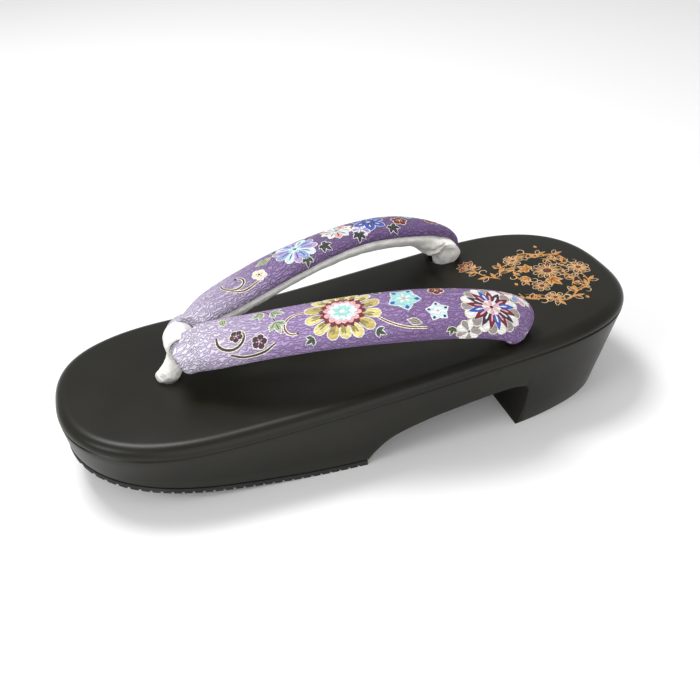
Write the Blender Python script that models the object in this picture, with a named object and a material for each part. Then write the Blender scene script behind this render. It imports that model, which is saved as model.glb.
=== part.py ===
"""A lacquered wooden geta sandal: a sole with a low heel block and a padded V strap.

Metres, +Z up. The floor is z = 0, the toe points towards -Y and the middle of the sole is x = y = 0.
"""

import math

import bpy
import bmesh
from mathutils import Vector

# Sole
LENGTH = 0.240
WIDTH = 0.0918
TOE_ROUND = 0.0588  # length of the toe's curve, ahead of the straight sides
HEEL_ROUND = 0.0630
TOE_SQUARENESS = 2.4  # powers of the superellipses that round the two ends
HEEL_SQUARENESS = 2.6
BALL_HEIGHT = 0.0317  # foot bed above the floor, at its lowest
HEEL_HEIGHT = 0.0433
TOE_SPRING = 0.0165  # underside of the toe tip above the floor
SPRING_LENGTH = 0.1025  # how far from the toe tip the underside leaves the floor
ROLL_WIDTH = 0.0050  # rounded rim of the foot bed, seen from above and from the side
ROLL_DEPTH = 0.0042
CREASE_DEPTH = 0.0009  # groove below the rim
CREASE_HEIGHT = 0.0016
TAPER_TOE = 0.0012  # how far the wall leans in at its foot
TAPER_BALL = 0.0045
TAPER_WAIST = 0.0018
TAPER_HEEL = 0.0095
FOOT_BREAK = 0.0006  # rounding of the wall's lower edge

# Underside
FOREFOOT_LENGTH = 0.1122  # toe tip to the start of the arch
HEEL_LENGTH = 0.0622  # heel block, measured along the floor
ARCH_HEIGHT = 0.0220
ARCH_CORNER = 0.0030  # rounding where the arch meets the heel block
ARCH_CORNER_RISE = 0.97  # share of the arch's height at that corner
HEEL_UNDERCUT = 0.0036  # how far the heel's front face leans back
OUTSOLE_THICKNESS = 0.0022
RIB_PITCH = 0.0038
RIB_GROOVE = 0.0011
RIB_DEPTH = 0.0008
RIB_SLOPE = 0.0002

# Strap
STRAP_WIDTH = 0.0232
STRAP_THICKNESS = 0.0126
STRAP_RISE = 0.0236  # middle of the strap above the foot bed, at its highest
COVER_WALL = 0.0012
EDGE_WRAP = 6.0  # degrees that the cover reaches round each edge
NOSE_WRAP = 62.0  # degrees more that it reaches under the inner edge, at the nose
EDGE_GAP = 5.0  # degrees left open between the cover's edge and the lining
SECTION_POWER = 2.2
NOSE_LENGTH = 0.0052  # rounded front end of each arm
JOINT_LENGTH = 0.0190  # stretch of each arm beside the thong and against the other arm
CLOSING_LENGTH = 0.0050  # over which the arms close up behind the thong
REAR_BEND = 0.68  # share of the arm's length where its sections get closer
NOSE_BACK = 0.0027  # front hole to the tip of the nose
REAR_HOLE_SETBACK = 0.0630  # heel tip to the rear holes
REAR_HOLE_OUT = 0.0333  # middle of the sole to a rear hole
HOLE_DEPTH = 0.0100

# Toe thong
FRONT_HOLE_SETBACK = 0.0440
JOINT_BACK = 0.0072  # front hole to the strap's neck
JOINT_RISE = 0.0153  # foot bed to the middle of the neck
NECK_RADIUS = 0.0036
NECK_BITE = 0.6  # share of the cover's wall that the neck reaches into
THONG_WALL = 0.0024
THONG_WIDTH = 0.0084
LOOP_POWER = 0.6  # how round the band's section is; 1 is an ellipse
POST_RADIUS = 0.0044

COVER_SIDES = 14  # facets across the cover
LINING_SIDES = 8  # facets across the bare lining
GAP = 0.0003  # between pieces that touch
HOLE_CLEARANCE = 0.0004

HALF_LENGTH = LENGTH / 2
HALF_WIDTH = WIDTH / 2
FRONT_HOLE_Y = FRONT_HOLE_SETBACK - HALF_LENGTH
REAR_HOLE_Y = HALF_LENGTH - REAR_HOLE_SETBACK
NOSE_Y = FRONT_HOLE_Y + NOSE_BACK
ARCH_Y = FOREFOOT_LENGTH - HALF_LENGTH
HEEL_Y = HALF_LENGTH - HEEL_LENGTH

# Foot bed: share of the length from the toe, share of the rise from ball to heel
BED_PROFILE = (
    (0.00, 0.24),
    (0.10, 0.07),
    (0.23, 0.00),
    (0.33, 0.05),
    (0.42, 0.15),
    (0.50, 0.29),
    (0.67, 0.62),
    (0.83, 0.91),
    (0.92, 0.99),
    (1.00, 1.00),
)

# Wall: share of the length from the toe, how far the wall leans in
WALL_TAPER = (
    (0.00, TAPER_TOE),
    (0.19, TAPER_BALL),
    (0.50, TAPER_WAIST),
    (0.69, TAPER_WAIST),
    (0.85, 0.7 * TAPER_HEEL),
    (1.00, TAPER_HEEL),
)

# Crease: share of its height, share of its depth
CREASE_PROFILE = (
    (0.35, 0.45),
    (0.55, 1.00),
    (1.00, 0.15),
)

# Arch: share of its length from the forefoot, share of its height
ARCH_PROFILE = (
    (0.00, 0.07),
    (0.01, 0.15),
    (0.05, 0.31),
    (0.11, 0.48),
    (0.18, 0.60),
    (0.31, 0.73),
    (0.45, 0.83),
    (0.65, 0.93),
    (0.80, 0.99),
    (0.90, 1.00),
)

# One arm of the strap, nose to rear hole. Shares of: the run between them, the rear hole's distance
# out, the rise above the foot bed; degrees that the face tilts outwards; shares of width and thickness
ARM = (
    (0.000, 0.270, 0.66, 32, 0.80, 0.92),
    (0.065, 0.235, 0.68, 26, 0.83, 0.95),
    (0.159, 0.393, 0.81, 10, 0.94, 1.00),
    (0.277, 0.556, 0.92, 6, 0.97, 1.02),
    (0.410, 0.725, 1.00, 7, 0.98, 1.01),
    (0.543, 0.872, 1.01, 12, 0.98, 1.00),
    (0.677, 1.000, 0.96, 15, 0.99, 1.00),
    (0.797, 1.080, 0.84, 14, 0.99, 1.00),
    (0.900, 1.118, 0.66, 18, 0.96, 0.99),
    (0.966, 1.128, 0.47, 30, 0.88, 0.94),
    (0.998, 1.102, 0.31, 46, 0.80, 0.88),
    (1.005, 1.052, 0.16, 57, 0.72, 0.80),
    (1.002, 1.024, 0.08, 60, 0.57, 0.66),
    (1.000, 1.010, 0.00, 61, 0.46, 0.56),
    (1.000, 1.000, -0.36, 62, 0.42, 0.54),
)

# Thong's post: share of the joint's rise, share of its distance back, share of the post's radius
POST = (
    (-0.55, 0.00, 1.00),
    (0.00, 0.00, 1.00),
    (0.07, 0.01, 1.09),
    (0.20, 0.03, 1.15),
    (0.32, 0.05, 1.12),
    (0.44, 0.10, 0.98),
    (0.56, 0.20, 0.88),
    (0.70, 0.40, 0.84),
)


def spline(rows, position):
    """Every column of the rows at a position along the first one, by a smooth curve through them."""
    keys = [row[0] for row in rows]
    position = min(max(position, keys[0]), keys[-1])
    left = 0
    while left < len(rows) - 2 and position > keys[left + 1]:
        left += 1

    def slope(index, column):
        before = max(index - 1, 0)
        after = min(index + 1, len(rows) - 1)
        return (rows[after][column] - rows[before][column]) / (keys[after] - keys[before])

    step = keys[left + 1] - keys[left]
    t = (position - keys[left]) / step
    values = []
    for column in range(1, len(rows[0])):
        start, end = rows[left][column], rows[left + 1][column]
        values.append(
            (2 * t**3 - 3 * t**2 + 1) * start
            + (t**3 - 2 * t**2 + t) * step * slope(left, column)
            + (3 * t**2 - 2 * t**3) * end
            + (t**3 - t**2) * step * slope(left + 1, column)
        )
    return values


def share_of_length(y):
    return (y + HALF_LENGTH) / LENGTH


def bed_height(y):
    rise = spline(BED_PROFILE, share_of_length(y))[0]
    return BALL_HEIGHT + rise * (HEEL_HEIGHT - BALL_HEIGHT)


def floor_height(y):
    """Underside of the outsole: flat, then turning up towards the toe."""
    ahead = SPRING_LENGTH - HALF_LENGTH - y
    return TOE_SPRING * (max(ahead, 0) / SPRING_LENGTH) ** 2


def wall_taper(y):
    return spline(WALL_TAPER, share_of_length(y))[0]


def half_outline(steps=18, sides=12):
    """One side of the sole from toe tip to heel tip, as (x, y) points."""
    toe_y = TOE_ROUND - HALF_LENGTH
    heel_y = HALF_LENGTH - HEEL_ROUND
    points = []
    for i in range(steps + 1):
        angle = math.pi / 2 * (1 - i / steps)
        across = max(math.cos(angle), 0) ** (2 / TOE_SQUARENESS)
        points.append((HALF_WIDTH * across, toe_y - TOE_ROUND * math.sin(angle) ** (2 / TOE_SQUARENESS)))
    step_down = (ARCH_Y + OUTSOLE_THICKNESS, ARCH_Y + 2 * OUTSOLE_THICKNESS)
    side_ys = [toe_y + (heel_y - toe_y) * i / sides for i in range(1, sides)]
    side_ys = [y for y in side_ys if min(abs(y - edge) for edge in step_down) > OUTSOLE_THICKNESS]
    for y in sorted([*side_ys, *step_down]):
        points.append((HALF_WIDTH, y))
    for i in range(steps + 1):
        angle = math.pi / 2 * i / steps
        across = max(math.cos(angle), 0) ** (2 / HEEL_SQUARENESS)
        points.append((HALF_WIDTH * across, heel_y + HEEL_ROUND * math.sin(angle) ** (2 / HEEL_SQUARENESS)))
    points[0] = (0.0, -HALF_LENGTH)
    points[-1] = (0.0, HALF_LENGTH)
    return points


def inset_outline(inset):
    """The half outline moved inwards by inset(y)."""
    points = half_outline()
    moved = []
    for i, (x, y) in enumerate(points):
        before = points[i - 1] if i else (-points[1][0], points[1][1])
        after = points[i + 1] if i + 1 < len(points) else (-points[-2][0], points[-2][1])
        along = Vector((after[0] - before[0], after[1] - before[1])).normalized()
        distance = inset(y)
        moved.append((max(x - distance * along.y, 0), y + distance * along.x))
    return moved


def new_object(name, bm, material=None):
    bmesh.ops.recalc_face_normals(bm, faces=bm.faces)
    mesh = bpy.data.meshes.new(name)
    bm.to_mesh(mesh)
    bm.free()
    mesh.shade_smooth()
    mesh.set_sharp_from_angle(angle=math.radians(35))
    obj = bpy.data.objects.new(name, mesh)
    bpy.context.scene.collection.objects.link(obj)
    if material:
        mesh.materials.append(material)
    return obj


def make_material(name, colour, roughness):
    material = bpy.data.materials.new(name)
    material.use_nodes = True
    shader = material.node_tree.nodes["Principled BSDF"]
    shader.inputs["Base Color"].default_value = (*colour, 1)
    shader.inputs["Roughness"].default_value = roughness
    shader.inputs["Metallic"].default_value = 0
    return material


def combine(obj, helper, operation):
    """Cuts the helper from the object, or joins it on, and hides it."""
    modifier = obj.modifiers.new(operation.lower() + "_" + helper.name, "BOOLEAN")
    modifier.operation = operation
    modifier.solver = "EXACT"
    modifier.object = helper
    helper.hide_render = True
    helper.display_type = "WIRE"


def full_ring(bm, half, height):
    """Vertices of a closed ring, +X side first, with height(y) as z."""
    right = [bm.verts.new((x, y, height(y))) for x, y in half]
    left = [bm.verts.new((-x, y, height(y))) for x, y in half[1:-1]]
    return right + left[::-1]


def cap_across(bm, ring):
    """Closes a ring with strips across the sole."""
    count = len(ring)
    for i in range(count // 2):
        corners = [ring[i], ring[i + 1], ring[-i - 1], ring[-i] if i else ring[0]]
        bm.faces.new(list(dict.fromkeys(corners)))


def bridge(bm, first, second):
    for i in range(len(first)):
        bm.faces.new((first[i - 1], first[i], second[i], second[i - 1]))


def under_height(y):
    """Underside of the wooden body: above the outsole in front, on the floor behind."""
    if y < ARCH_Y + 1.5 * OUTSOLE_THICKNESS:
        return floor_height(y) + OUTSOLE_THICKNESS + GAP
    return 0.0


def sole_rings():
    """Half outlines and heights of the body, from the middle of the rim down to the foot."""
    rings = []
    roll_steps = 7
    for i in range(roll_steps + 1):
        angle = math.pi / 2 * i / roll_steps
        inset = ROLL_WIDTH * (1 - math.sin(angle))
        drop = ROLL_DEPTH * (1 - math.cos(angle))
        rings.append((inset_outline(lambda y: inset), lambda y, drop=drop: bed_height(y) - drop))
    for share, depth in CREASE_PROFILE:
        drop = ROLL_DEPTH + share * CREASE_HEIGHT
        rings.append((inset_outline(lambda y: depth * CREASE_DEPTH), lambda y, drop=drop: bed_height(y) - drop))
    rings.append((inset_outline(wall_taper), lambda y: under_height(y) + FOOT_BREAK))
    rings.append((inset_outline(lambda y: wall_taper(y) + FOOT_BREAK), under_height))
    return rings


def arch_points():
    """Side view of the arch as (y, z), from the forefoot's end to the heel block's foot."""
    depth = ARCH_HEIGHT / 2
    heel_top_y = HEEL_Y + HEEL_UNDERCUT
    arch_length = heel_top_y - ARCH_Y
    points = [(ARCH_Y, -depth)]
    steps = 26
    for i in range(steps + 1):
        share = ARCH_PROFILE[-1][0] * (i / steps) ** 2
        points.append((ARCH_Y + share * arch_length, ARCH_HEIGHT * spline(ARCH_PROFILE, share)[0]))
    corner_top = ARCH_CORNER_RISE * ARCH_HEIGHT
    corner_steps = 6
    for i in range(corner_steps + 1):
        angle = math.pi / 2 * (1 - i / corner_steps)
        points.append((
            heel_top_y - ARCH_CORNER * (1 - math.cos(angle)),
            corner_top - ARCH_CORNER * (1 - math.sin(angle)),
        ))
    face_steps = 7
    for i in range(1, face_steps + 1):
        share = i / face_steps
        z = (corner_top - ARCH_CORNER) * (1 - share)
        points.append((heel_top_y - HEEL_UNDERCUT * share**2, z))
    points.append((HEEL_Y, -depth))
    return points


def make_arch_cutter():
    bm = bmesh.new()
    reach = 0.7 * WIDTH
    near = [bm.verts.new((reach, y, z)) for y, z in arch_points()]
    far = [bm.verts.new((-reach, y, z)) for y, z in arch_points()]
    bridge(bm, near, far)
    bm.faces.new(near)
    bm.faces.new(far)
    return new_object("arch_cutter", bm)


def make_hole_cutter(name, x, y, radius):
    bm = bmesh.new()
    clear = HOLE_DEPTH
    bmesh.ops.create_cone(
        bm, cap_ends=True, segments=32, radius1=radius, radius2=radius, depth=HOLE_DEPTH + clear
    )
    cutter = new_object(name, bm)
    cutter.location = (x, y, bed_height(y) + (clear - HOLE_DEPTH) / 2)
    return cutter


def make_sole_base(material):
    bm = bmesh.new()
    rings = [full_ring(bm, half, height) for half, height in sole_rings()]
    for upper, lower in zip(rings, rings[1:]):
        bridge(bm, upper, lower)
    cap_across(bm, rings[0])
    cap_across(bm, rings[-1])
    base = new_object("sole_base", bm, material)
    combine(base, make_arch_cutter(), "DIFFERENCE")
    front = make_hole_cutter("front_hole", 0, FRONT_HOLE_Y, POST_RADIUS + HOLE_CLEARANCE)
    combine(base, front, "DIFFERENCE")
    width_at_bed = ARM[-2][4] * STRAP_WIDTH
    rear_radius = width_at_bed / 2 + HOLE_CLEARANCE
    for side, name in ((1, "left_hole"), (-1, "right_hole")):
        cutter = make_hole_cutter(name, side * REAR_HOLE_OUT, REAR_HOLE_Y, rear_radius)
        combine(base, cutter, "DIFFERENCE")
    return base


def width_at(half, y):
    """Half width of an outline at y."""
    for (x0, y0), (x1, y1) in zip(half, half[1:]):
        if y0 <= y <= y1 and y1 > y0:
            return x0 + (x1 - x0) * (y - y0) / (y1 - y0)
    return 0.0


def outsole_stations(half):
    """(y, groove depth) along the outsole: the outline's own points and the edges of the ribs."""
    end_y = ARCH_Y - RIB_SLOPE
    stations = {}
    first_rib = half[0][1] + RIB_PITCH
    ribs = int((end_y - RIB_PITCH / 2 - first_rib) / RIB_PITCH)
    grooves = []
    for i in range(ribs + 1):
        start = first_rib + i * RIB_PITCH
        grooves.append((start, start + RIB_GROOVE))
        stations[start] = 0.0
        stations[start + RIB_SLOPE] = RIB_DEPTH
        stations[start + RIB_GROOVE - RIB_SLOPE] = RIB_DEPTH
        stations[start + RIB_GROOVE] = 0.0
    for x, y in half:
        clear_of_ribs = all(abs(y - edge) > RIB_SLOPE * 1.5 for groove in grooves for edge in groove)
        if y < end_y - RIB_SLOPE and clear_of_ribs:
            in_groove = any(start < y < end for start, end in grooves)
            stations[y] = RIB_DEPTH if in_groove else 0.0
    stations[end_y] = 0.0
    return sorted(stations.items())


def make_front_outsole(material):
    """A rubber sheet whose underside has grooves across the shoe."""
    half = inset_outline(wall_taper)
    bm = bmesh.new()
    rows = []
    for y, groove in outsole_stations(half):
        x = width_at(half, y)
        top = floor_height(y) + OUTSOLE_THICKNESS
        bottom = floor_height(y) + groove
        corners = ((x, top), (x, bottom), (-x, bottom), (-x, top))
        if x < RIB_SLOPE:
            tip = [bm.verts.new((0, y, top)), bm.verts.new((0, y, bottom))]
            rows.append([tip[0], tip[1], tip[1], tip[0]])
        else:
            rows.append([bm.verts.new((cx, y, cz)) for cx, cz in corners])
    for first, second in zip(rows, rows[1:]):
        for i in range(4):
            corners = [first[i - 1], first[i], second[i], second[i - 1]]
            corners = list(dict.fromkeys(corners))
            if len(corners) > 2:
                bm.faces.new(corners)
    bm.faces.new(rows[-1])
    return new_object("front_outsole", bm, material)


def arm_rows():
    """The arm's table in metres, with the distance along the arm as the first column."""
    rows = []
    travelled = 0.0
    previous = None
    for along, out, rise, tilt, width, thickness in ARM:
        y = NOSE_Y + along * (REAR_HOLE_Y - NOSE_Y)
        centre = Vector((out * REAR_HOLE_OUT, y, bed_height(y) + rise * STRAP_RISE))
        if previous:
            travelled += (centre - previous).length
        previous = centre
        rows.append((travelled, *centre, tilt, width * STRAP_WIDTH, thickness * STRAP_THICKNESS))
    return rows


ARM_ROWS = arm_rows()
ARM_LENGTH = ARM_ROWS[-1][0]


def arm_frame(distance):
    """Centre, outward and face directions, width and thickness at a distance from the nose."""
    x, y, z, tilt, width, thickness = spline(ARM_ROWS, distance)
    step = ARM_LENGTH / 300
    behind = Vector(spline(ARM_ROWS, distance - step)[:3])
    ahead = Vector(spline(ARM_ROWS, distance + step)[:3])
    along = (ahead - behind).normalized()
    across = Vector((1, 0, 0))
    across = (across - across.dot(along) * along).normalized()
    up = across.cross(along)
    turn = math.radians(tilt)
    face = up * math.cos(turn) + across * math.sin(turn)
    outward = across * math.cos(turn) - up * math.sin(turn)
    return Vector((x, y, z)), outward, face, width, thickness


def inner_limit(y):
    """How near the middle an arm may come: beside the thong's loop, then pressed to the other arm."""
    beside_loop = THONG_WIDTH / 2 + GAP
    loop_end = FRONT_HOLE_Y + JOINT_BACK + NECK_RADIUS + GAP + THONG_WALL + GAP
    share = min(max((y - loop_end) / CLOSING_LENGTH, 0), 1)
    share = share * share * (3 - 2 * share)
    return beside_loop + (GAP / 2 - beside_loop) * share


def section_point(distance, angle, depth, scale=1.0, limit_depth=None):
    """A point of the arm's section. Angle 0 is the outer edge, 90 the face, 180 the inner edge."""
    centre, outward, face, width, thickness = arm_frame(distance)
    turn = math.radians(angle)
    power = 2 / SECTION_POWER
    c, s = math.cos(turn), math.sin(turn)
    a = (width / 2 - depth) * scale * math.copysign(abs(c) ** power, c)
    b = (thickness / 2 - depth) * scale * math.copysign(abs(s) ** power, s)
    point = centre + outward * a + face * b
    limit = inner_limit(point.y) + (depth if limit_depth is None else limit_depth)
    point.x = max(point.x, limit)
    return point


def arm_stations(depth):
    """(distance, scale) of the sections after the nose's tip, for a skin at a depth below the surface."""
    stations = []
    nose_steps = 4
    for i in range(1, nose_steps + 1):
        angle = math.pi / 2 * i / nose_steps
        stations.append((depth + (NOSE_LENGTH - depth) * (1 - math.cos(angle)), math.sin(angle)))
    stretches = ((JOINT_LENGTH, 6), (REAR_BEND * ARM_LENGTH, 8), (ARM_LENGTH, 12))
    start = NOSE_LENGTH
    for end, steps in stretches:
        stations += [(start + (end - start) * i / steps, 1.0) for i in range(1, steps + 1)]
        start = end
    return stations


def spread(start, end, steps):
    return [start + (end - start) * i / steps for i in range(steps + 1)]


def cover_edges(distance):
    """Angles of the cover's outer and inner edges. Beside the thong it wraps further under."""
    share = max(1 - distance / JOINT_LENGTH, 0)
    return -EDGE_WRAP, 180 + EDGE_WRAP + NOSE_WRAP * share * share * (3 - 2 * share)


def make_arm_cover(name, side, material):
    """The cover of one arm: a skin over the face and edges, closed at the nose, open underneath."""
    bm = bmesh.new()
    skins = []
    for depth in (0.0, COVER_WALL):
        rows = []
        for distance, scale in arm_stations(depth):
            angles = spread(*cover_edges(distance), COVER_SIDES)
            row = [section_point(distance, angle, depth, scale) for angle in angles]
            rows.append([bm.verts.new((side * p.x, p.y, p.z)) for p in row])
        tip = section_point(depth, 90, depth, 0.0)
        skins.append((bm.verts.new((side * tip.x, tip.y, tip.z)), rows))
    last = COVER_SIDES
    for tip, rows in skins:
        for i in range(last):
            bm.faces.new((tip, rows[0][i], rows[0][i + 1]))
        for first, second in zip(rows, rows[1:]):
            for i in range(last):
                bm.faces.new((first[i], first[i + 1], second[i + 1], second[i]))
    (outer_tip, outer), (inner_tip, inner) = skins
    for edge in (0, last):
        bm.faces.new((outer_tip, outer[0][edge], inner[0][edge], inner_tip))
        for i in range(len(outer) - 1):
            bm.faces.new((outer[i][edge], outer[i + 1][edge], inner[i + 1][edge], inner[i][edge]))
    for i in range(last):
        bm.faces.new((outer[-1][i], outer[-1][i + 1], inner[-1][i + 1], inner[-1][i]))
    return new_object(name, bm, material)


def make_lining(name, side, material):
    """The padded lining of one arm: it fills the cover and is flush with it underneath."""
    bm = bmesh.new()
    under = COVER_WALL + GAP
    rows = []
    for distance, scale in arm_stations(under):
        outer_edge, inner_edge = cover_edges(distance)
        covered = [(angle, under) for angle in spread(outer_edge, inner_edge, COVER_SIDES)]
        bare = [(angle, 0.0) for angle in spread(inner_edge + EDGE_GAP, outer_edge + 360 - EDGE_GAP, LINING_SIDES)]
        step = [(bare[0][0], under), *bare, (bare[-1][0], under)]
        row = [section_point(distance, angle, depth, scale, under) for angle, depth in covered + step]
        rows.append([bm.verts.new((side * p.x, p.y, p.z)) for p in row])
    tip = section_point(under, 90, under, 0.0)
    tip = bm.verts.new((side * tip.x, tip.y, tip.z))
    for first, second in zip(rows, rows[1:]):
        bridge(bm, first, second)
    for i in range(len(rows[0])):
        bm.faces.new((tip, rows[0][i - 1], rows[0][i]))
    bm.faces.new(rows[-1])
    return new_object(name, bm, material)


def joint_centre():
    y = FRONT_HOLE_Y + JOINT_BACK
    return Vector((0, y, bed_height(FRONT_HOLE_Y) + JOINT_RISE))


def make_neck():
    """The pinched neck that joins the two arms inside the thong's loop."""
    bm = bmesh.new()
    reach = THONG_WIDTH / 2 + GAP + NECK_BITE * COVER_WALL
    bmesh.ops.create_cone(
        bm, cap_ends=True, segments=20, radius1=NECK_RADIUS, radius2=NECK_RADIUS, depth=2 * reach
    )
    neck = new_object("neck", bm)
    neck.rotation_euler = (0, math.pi / 2, 0)
    neck.location = joint_centre()
    return neck


def make_strap_cover(material):
    cover = make_arm_cover("strap_cover", 1, material)
    combine(cover, make_neck(), "UNION")
    combine(cover, make_arm_cover("right_arm", -1, material), "UNION")
    return cover


def make_loop():
    """The band of the thong round the neck."""
    bm = bmesh.new()
    centre = joint_centre()
    middle = NECK_RADIUS + GAP + THONG_WALL / 2
    turns, sides = 28, 10
    rows = []
    for i in range(turns):
        turn = 2 * math.pi * i / turns
        radial = Vector((0, math.cos(turn), math.sin(turn)))
        row = []
        for k in range(sides):
            angle = 2 * math.pi * k / sides
            c, s = math.cos(angle), math.sin(angle)
            x = THONG_WIDTH / 2 * math.copysign(abs(c) ** LOOP_POWER, c)
            out = THONG_WALL / 2 * math.copysign(abs(s) ** LOOP_POWER, s)
            row.append(bm.verts.new(centre + radial * (middle + out) + Vector((x, 0, 0))))
        rows.append(row)
    for i in range(turns):
        bridge(bm, rows[i - 1], rows[i])
    return new_object("loop", bm)


def make_toe_thong(material):
    """The post, with the loop joined on."""
    bm = bmesh.new()
    foot = Vector((0, FRONT_HOLE_Y, bed_height(FRONT_HOLE_Y)))
    stations = []
    for rise, back, radius in POST:
        stations.append((foot + Vector((0, back * JOINT_BACK, rise * JOINT_RISE)), radius * POST_RADIUS))
    rows = []
    sides = 24
    for i, (centre, radius) in enumerate(stations):
        before = stations[max(i - 1, 0)][0]
        after = stations[min(i + 1, len(stations) - 1)][0]
        along = (after - before).normalized()
        ahead = Vector((1, 0, 0)).cross(along)
        row = []
        for k in range(sides):
            angle = 2 * math.pi * k / sides
            offset = Vector((1, 0, 0)) * math.cos(angle) + ahead * math.sin(angle)
            row.append(bm.verts.new(centre + offset * radius))
        rows.append(row)
    for first, second in zip(rows, rows[1:]):
        bridge(bm, first, second)
    bm.faces.new(rows[0])
    bm.faces.new(rows[-1])
    thong = new_object("toe_thong", bm, material)
    combine(thong, make_loop(), "UNION")
    return thong


def main():
    for obj in list(bpy.data.objects):
        bpy.data.objects.remove(obj, do_unlink=True)
    lacquer = make_material("black_lacquer", (0.020, 0.019, 0.016), 0.42)
    rubber = make_material("black_rubber", (0.012, 0.012, 0.012), 0.80)
    cover = make_material("purple_cover", (0.30, 0.19, 0.42), 0.60)
    flannel = make_material("white_flannel", (0.86, 0.86, 0.83), 0.95)
    make_sole_base(lacquer)
    make_front_outsole(rubber)
    make_strap_cover(cover)
    make_lining("left_lining", 1, flannel)
    make_lining("right_lining", -1, flannel)
    make_toe_thong(flannel)


main()
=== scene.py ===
import math

import bmesh
import bpy
from mathutils import Matrix, Vector, noise


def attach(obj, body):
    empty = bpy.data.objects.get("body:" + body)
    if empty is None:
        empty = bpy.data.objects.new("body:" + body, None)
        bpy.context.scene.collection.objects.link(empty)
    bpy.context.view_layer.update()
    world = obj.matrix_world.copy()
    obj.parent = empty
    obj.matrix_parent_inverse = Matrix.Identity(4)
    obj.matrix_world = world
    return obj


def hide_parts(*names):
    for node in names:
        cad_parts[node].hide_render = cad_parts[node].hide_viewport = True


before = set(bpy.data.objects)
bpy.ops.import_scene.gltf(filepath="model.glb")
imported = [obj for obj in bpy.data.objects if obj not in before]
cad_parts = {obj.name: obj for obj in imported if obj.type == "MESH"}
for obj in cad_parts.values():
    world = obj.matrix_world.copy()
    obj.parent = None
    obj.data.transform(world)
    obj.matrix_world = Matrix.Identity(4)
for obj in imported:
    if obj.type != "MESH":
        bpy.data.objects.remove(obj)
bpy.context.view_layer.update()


def spline(rows, position):
    # smooth curve through a table; the first column is the position
    keys = [row[0] for row in rows]
    position = min(max(position, keys[0]), keys[-1])
    left = 0
    while left < len(rows) - 2 and position > keys[left + 1]:
        left += 1
    last = len(rows) - 1
    low, high = max(left - 1, 0), min(left + 2, last)
    step = keys[left + 1] - keys[left]
    t = (position - keys[left]) / step
    values = []
    for column in range(1, len(rows[0])):
        a, b = rows[left][column], rows[left + 1][column]
        slopeA = (b - rows[low][column]) / (keys[left + 1] - keys[low])
        slopeB = (rows[high][column] - a) / (keys[high] - keys[left])
        values.append(
            (2 * t**3 - 3 * t**2 + 1) * a + (t**3 - 2 * t**2 + t) * step * slopeA
            + (3 * t**2 - 2 * t**3) * b + (t**3 - t**2) * step * slopeB
        )
    return values


def between(low, high, share):
    return low + (high - low) * share


def smoothStep(low, high, value):
    t = min(max((value - low) / (high - low), 0), 1)
    return t * t * (3 - 2 * t)


def rounded(value, power):
    # a cosine or sine bent towards a fuller or slimmer oval
    return math.copysign(abs(value) ** power, value)


def layGrid(bm, columns, rows, corner):
    # a grid whose vertex (i, k) goes to corner(i, k); gives back each vertex with its i and k
    placed = []
    for vert in bmesh.ops.create_grid(bm, x_segments=columns, y_segments=rows, size=0.5)["verts"]:
        i = round((vert.co.x + 0.5) * columns)
        k = round((vert.co.y + 0.5) * rows)
        vert.co = corner(i, k)
        placed.append((vert, i, k))
    return placed


def closeTube(bm):
    bmesh.ops.remove_doubles(bm, verts=bm.verts, dist=1e-6)
    bmesh.ops.holes_fill(bm, edges=[edge for edge in bm.edges if edge.is_boundary], sides=0)


def mirrorAcross(bm):
    bmesh.ops.scale(bm, verts=bm.verts, vec=(-1, 1, 1))


def setUv(bm, layer, uvOfVert):
    for face in bm.faces:
        for loop in face.loops:
            loop[layer].uv = uvOfVert(loop.vert)


def linkObject(name, data):
    made = bpy.data.objects.new(name, data)
    bpy.context.scene.collection.objects.link(made)
    return made


def newMesh(name, bm):
    mesh = bpy.data.meshes.new(name)
    bm.to_mesh(mesh)
    bm.free()
    return mesh


def finishPiece(name, bm, material, sharp=40, replaced=()):
    mesh = newMesh(name, bm)
    mesh.shade_smooth()
    mesh.set_sharp_from_angle(angle=math.radians(sharp))
    mesh.materials.append(material)
    piece = linkObject(name, mesh)
    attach(piece, "root")
    if replaced:
        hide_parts(*replaced)
    return piece


def addModifier(piece, kind, **settings):
    modifier = piece.modifiers.new(kind.lower(), kind)
    for key, value in settings.items():
        setattr(modifier, key, value)


def applyModifiers(piece):
    bpy.context.view_layer.update()
    shaped = bpy.data.meshes.new_from_object(piece.evaluated_get(bpy.context.evaluated_depsgraph_get()))
    piece.modifiers.clear()
    old = piece.data
    piece.data = shaped
    bpy.data.meshes.remove(old)


# Materials
def rgb(red, green, blue):
    # screen colour, 0 to 255, as linear light
    def linear(value):
        value /= 255
        return value / 12.92 if value <= 0.04045 else ((value + 0.055) / 1.055) ** 2.4
    return linear(red), linear(green), linear(blue), 1.0


def newMaterial(name, colour, roughness):
    material = bpy.data.materials.new(name)
    material.use_nodes = True
    tree = material.node_tree
    shader = tree.nodes["Principled BSDF"]
    shader.inputs["Base Color"].default_value = colour
    shader.inputs["Roughness"].default_value = roughness
    return material, tree, shader


def addNode(tree, kind, inputs=(), **settings):
    node = tree.nodes.new(kind)
    for key, value in settings.items():
        setattr(node, key, value)
    for socket, value in dict(inputs).items():
        if isinstance(value, bpy.types.NodeSocket):
            tree.links.new(value, node.inputs[socket])
        else:
            node.inputs[socket].default_value = value
    return node


def maths(tree, operation, first, second=0.0):
    return addNode(tree, "ShaderNodeMath", {0: first, 1: second}, operation=operation).outputs[0]


def blendColour(tree, factor, first, second):
    return addNode(tree, "ShaderNodeMix", {0: factor, 6: first, 7: second}, data_type="RGBA").outputs[2]


def place(tree, source, scale):
    return addNode(tree, "ShaderNodeMapping", {"Vector": source, "Scale": scale}).outputs[0]


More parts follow.
